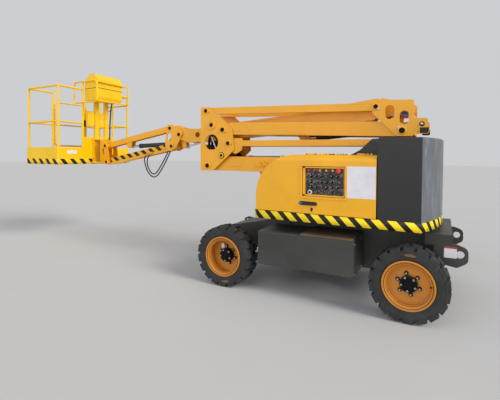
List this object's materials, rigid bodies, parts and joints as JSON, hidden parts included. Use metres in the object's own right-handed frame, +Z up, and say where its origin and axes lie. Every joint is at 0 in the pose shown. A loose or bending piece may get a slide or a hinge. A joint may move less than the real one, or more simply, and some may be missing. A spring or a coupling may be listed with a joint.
{
  "type": "articulating boom lift",
  "caption": "Self-propelled work platform on rubber tyres with a folding riser, telescopic boom, short jib and railed basket.",
  "frame": {"origin": "on the ground under the middle of the whole machine's length and width", "axes": "+X forward towards the platform, +Y to the machine's left, +Z up"},
  "size_m": [6.493, 1.75, 2.9],
  "materials": {
    "boom_paint": "semi-gloss amber yellow paint",
    "cage_paint": "semi-gloss bright yellow paint",
    "hood_paint": "semi-gloss amber yellow paint",
    "rim_paint": "semi-gloss orange yellow paint",
    "dark_paint": "satin charcoal paint",
    "chassis_paint": "satin dark grey paint",
    "tyre": "matte",
    "rod_chrome": "polished",
    "hose_rubber": "matte",
    "pad_plastic": "matte",
    "bare_steel": "machined",
    "panel_plastic": "matte"
  },
  "bodies": {
    "chassis": {"chassis_frame": "chassis_paint", "side_boxes": "chassis_paint", "slew_ring": "bare_steel", "rear_axle": "chassis_paint", "front_axle": "chassis_paint"},
    "steer_knuckle_left": {"steer_knuckle_left": "chassis_paint"},
    "steer_knuckle_right": {"steer_knuckle_right": "chassis_paint"},
    "tie_rod": {"tie_rod": "chassis_paint"},
    "turntable": {"turntable_base": "dark_paint", "turret": "dark_paint", "counterweight": "dark_paint", "hood_walls": "dark_paint", "ground_console": "panel_plastic", "engine": "dark_paint", "tank": "dark_paint"},
    "hood_left": {"hood_left": "hood_paint"},
    "hood_right": {"hood_right": "hood_paint"},
    "lower_arm": {"lower_arm": "boom_paint"},
    "lower_link": {"lower_link": "boom_paint"},
    "front_knuckle": {"front_knuckle": "boom_paint"},
    "upper_arm": {"upper_arm": "boom_paint"},
    "upper_link": {"upper_link": "boom_paint"},
    "rear_knuckle": {"rear_knuckle": "boom_paint"},
    "main_boom": {"main_boom": "boom_paint", "boom_pads": "pad_plastic"},
    "fly_boom": {"fly_boom": "boom_paint"},
    "jib_knuckle": {"jib_knuckle": "boom_paint"},
    "jib_arm": {"jib_arm": "boom_paint", "jib_hose_outer": "hose_rubber", "jib_hose_inner": "hose_rubber"},
    "jib_link": {"jib_link": "boom_paint"},
    "jib_head": {"jib_head": "boom_paint"},
    "platform": {"platform_mount": "cage_paint", "platform_floor": "cage_paint", "platform_rails": "cage_paint", "console_guard": "cage_paint", "console_box": "cage_paint"},
    "platform_gate": {"platform_gate": "cage_paint"},
    "console_lid": {"console_lid": "cage_paint"},
    "riser_cylinder_barrel": {"riser_cylinder_barrel": "dark_paint"},
    "riser_cylinder_rod": {"riser_cylinder_rod": "rod_chrome"},
    "lift_cylinder_barrel": {"lift_cylinder_barrel": "dark_paint"},
    "lift_cylinder_rod": {"lift_cylinder_rod": "rod_chrome"},
    "jib_cylinder_barrel": {"jib_cylinder_barrel": "dark_paint"},
    "jib_cylinder_rod": {"jib_cylinder_rod": "rod_chrome"},
    "level_cylinder_barrel": {"level_cylinder_barrel": "dark_paint"},
    "level_cylinder_rod": {"level_cylinder_rod": "rod_chrome"},
    "wheel_rear_left": {"tyre_rear_left": "tyre", "rim_rear_left": "rim_paint"},
    "wheel_rear_right": {"tyre_rear_right": "tyre", "rim_rear_right": "rim_paint"},
    "wheel_front_left": {"tyre_front_left": "tyre", "rim_front_left": "rim_paint"},
    "wheel_front_right": {"tyre_front_right": "tyre", "rim_front_right": "rim_paint"}
  },
  "joints": [
    {"name": "wheel_rear_left_spin", "type": "hinge", "parent": "chassis", "child": "wheel_rear_left", "pos_m": [-2.7535, 0.755, 0.355], "axis": [0, 1, 0], "continuous": true},
    {"name": "steer_left", "type": "hinge", "parent": "chassis", "child": "steer_knuckle_left", "pos_m": [-0.7535, 0.62, 0.355], "axis": [0, 0, 1], "range_deg": [-35, 35]},
    {"name": "wheel_front_left_spin", "type": "hinge", "parent": "steer_knuckle_left", "child": "wheel_front_left", "pos_m": [-0.7535, 0.755, 0.355], "axis": [0, 1, 0], "continuous": true},
    {"name": "wheel_rear_right_spin", "type": "hinge", "parent": "chassis", "child": "wheel_rear_right", "pos_m": [-2.7535, -0.755, 0.355], "axis": [0, 1, 0], "continuous": true},
    {"name": "steer_right", "type": "hinge", "parent": "chassis", "child": "steer_knuckle_right", "pos_m": [-0.7535, -0.62, 0.355], "axis": [0, 0, 1], "range_deg": [-35, 35]},
    {"name": "wheel_front_right_spin", "type": "hinge", "parent": "steer_knuckle_right", "child": "wheel_front_right", "pos_m": [-0.7535, -0.755, 0.355], "axis": [0, 1, 0], "continuous": true},
    {"name": "tie_rod_shift", "type": "slide", "parent": "chassis", "child": "tie_rod", "axis": [0, 1, 0], "range_m": [-0.09173, 0.09173]},
    {"name": "slew", "type": "hinge", "parent": "chassis", "child": "turntable", "pos_m": [-1.7535, 0, 0.83], "axis": [0, 0, 1], "range_deg": [-177, 177]},
    {"name": "hood_left_lift", "type": "hinge", "parent": "turntable", "child": "hood_left", "pos_m": [-1.8035, 0.41, 1.561], "axis": [1, 0, 0], "range_deg": [0, 65]},
    {"name": "hood_right_lift", "type": "hinge", "parent": "turntable", "child": "hood_right", "pos_m": [-1.8035, -0.41, 1.561], "axis": [-1, 0, 0], "range_deg": [0, 65]},
    {"name": "riser_lift", "type": "hinge", "parent": "turntable", "child": "lower_arm", "pos_m": [-2.0185, 0, 1.39], "axis": [0, -1, 0], "range_deg": [0, 65]},
    {"name": "lower_link_pivot", "type": "hinge", "parent": "turntable", "child": "lower_link", "pos_m": [-2.3505, 0, 1.697], "axis": [0, -1, 0], "range_deg": [0, 65]},
    {"name": "front_knuckle_level", "type": "hinge", "parent": "lower_arm", "child": "front_knuckle", "pos_m": [-0.1145, 0, 1.395], "axis": [0, -1, 0], "range_deg": [-65, 0]},
    {"name": "upper_arm_pivot", "type": "hinge", "parent": "front_knuckle", "child": "upper_arm", "pos_m": [-0.3575, 0, 1.886], "axis": [0, 1, 0], "range_deg": [0, 65]},
    {"name": "upper_link_pivot", "type": "hinge", "parent": "front_knuckle", "child": "upper_link", "pos_m": [-0.0855, 0, 2.156], "axis": [0, 1, 0], "range_deg": [0, 65]},
    {"name": "rear_knuckle_level", "type": "hinge", "parent": "upper_arm", "child": "rear_knuckle", "pos_m": [-2.6255, 0, 1.823], "axis": [0, 1, 0], "range_deg": [-65, 0]},
    {"name": "boom_lift", "type": "hinge", "parent": "rear_knuckle", "child": "main_boom", "pos_m": [-2.6535, 0, 2.08], "axis": [0, -1, 0], "range_deg": [0, 78]},
    {"name": "telescope", "type": "slide", "parent": "main_boom", "child": "fly_boom", "axis": [0.9966, 0, -0.0819], "range_m": [0, 1.5]},
    {"name": "jib_knuckle_level", "type": "hinge", "parent": "fly_boom", "child": "jib_knuckle", "pos_m": [0.5035, 0, 1.847], "axis": [0, -1, 0], "range_deg": [-78, 0]},
    {"name": "jib_lift", "type": "hinge", "parent": "jib_knuckle", "child": "jib_arm", "pos_m": [0.6465, 0, 1.672], "axis": [0, -1, 0], "range_deg": [-45, 70]},
    {"name": "jib_link_pivot", "type": "hinge", "parent": "jib_knuckle", "child": "jib_link", "pos_m": [0.6765, 0, 1.946], "axis": [0, -1, 0], "range_deg": [-45, 70]},
    {"name": "jib_head_level", "type": "hinge", "parent": "jib_arm", "child": "jib_head", "pos_m": [2.0565, 0, 1.41], "axis": [0, -1, 0], "range_deg": [-70, 45]},
    {"name": "platform_turn", "type": "hinge", "parent": "jib_head", "child": "platform", "pos_m": [2.2465, 0, 1.41], "axis": [0, 0, -1], "range_deg": [-85, 85]},
    {"name": "gate_swing", "type": "hinge", "parent": "platform", "child": "platform_gate", "pos_m": [3.2225, 0.29, 2.07], "axis": [0, 0, -1], "range_deg": [0, 80]},
    {"name": "console_lid_lift", "type": "hinge", "parent": "platform", "child": "console_lid", "pos_m": [2.4255, -0.0195, 2.675], "axis": [0, 1, 0], "range_deg": [0, 100]},
    {"name": "riser_cylinder_swing", "type": "hinge", "parent": "turntable", "child": "riser_cylinder_barrel", "pos_m": [-1.8935, 0, 1], "axis": [0, -1, 0], "range_deg": [0, 57.57]},
    {"name": "riser_cylinder_stroke", "type": "slide", "parent": "riser_cylinder_barrel", "child": "riser_cylinder_rod", "axis": [0.9725, 0, 0.2328], "range_m": [0, 0.42015]},
    {"name": "lift_cylinder_swing", "type": "hinge", "parent": "rear_knuckle", "child": "lift_cylinder_barrel", "pos_m": [-2.5735, 0, 1.87], "axis": [0, -1, 0], "range_deg": [0, 76]},
    {"name": "lift_cylinder_stroke", "type": "slide", "parent": "lift_cylinder_barrel", "child": "lift_cylinder_rod", "axis": [0.9952, 0, -0.0977], "range_m": [0, 0.30722]},
    {"name": "jib_cylinder_swing", "type": "hinge", "parent": "jib_knuckle", "child": "jib_cylinder_barrel", "pos_m": [0.7485, 0, 1.705], "axis": [0, -1, 0], "range_deg": [-46.15, 71.78]},
    {"name": "jib_cylinder_stroke", "type": "slide", "parent": "jib_cylinder_barrel", "child": "jib_cylinder_rod", "axis": [0.9992, 0, -0.0393], "range_m": [-0.16466, 0.25608]},
    {"name": "level_cylinder_swing", "type": "hinge", "parent": "fly_boom", "child": "level_cylinder_barrel", "pos_m": [-0.4135, 0, 1.862], "axis": [0, -1, 0], "range_deg": [0, 12.08]},
    {"name": "level_cylinder_stroke", "type": "slide", "parent": "level_cylinder_barrel", "child": "level_cylinder_rod", "axis": [0.9734, 0, -0.229], "range_m": [-0.17675, 0]}
  ],
  "couplings": [
    {"joint": "steer_right", "follows": "steer_left", "ratio": 1},
    {"joint": "tie_rod_shift", "follows": "steer_left", "m_per_rad": -0.15},
    {"joint": "lower_link_pivot", "follows": "riser_lift", "ratio": 1},
    {"joint": "front_knuckle_level", "follows": "riser_lift", "ratio": -1},
    {"joint": "upper_arm_pivot", "follows": "riser_lift", "ratio": 1},
    {"joint": "upper_link_pivot", "follows": "riser_lift", "ratio": 1},
    {"joint": "rear_knuckle_level", "follows": "riser_lift", "ratio": -1},
    {"joint": "jib_knuckle_level", "follows": "boom_lift", "ratio": -1},
    {"joint": "jib_link_pivot", "follows": "jib_lift", "ratio": 1},
    {"joint": "jib_head_level", "follows": "jib_lift", "ratio": -1},
    {"joint": "riser_cylinder_swing", "follows": "riser_lift", "ratio": 0.8855},
    {"joint": "riser_cylinder_stroke", "follows": "riser_lift", "m_per_rad": 0.37026},
    {"joint": "lift_cylinder_swing", "follows": "boom_lift", "ratio": 0.9742},
    {"joint": "lift_cylinder_stroke", "follows": "boom_lift", "m_per_rad": 0.2256},
    {"joint": "jib_cylinder_swing", "follows": "jib_lift", "ratio": 1.0253},
    {"joint": "jib_cylinder_stroke", "follows": "jib_lift", "m_per_rad": 0.20952},
    {"joint": "level_cylinder_swing", "follows": "boom_lift", "ratio": 0.1547},
    {"joint": "level_cylinder_stroke", "follows": "boom_lift", "m_per_rad": -0.12976}
  ]
}
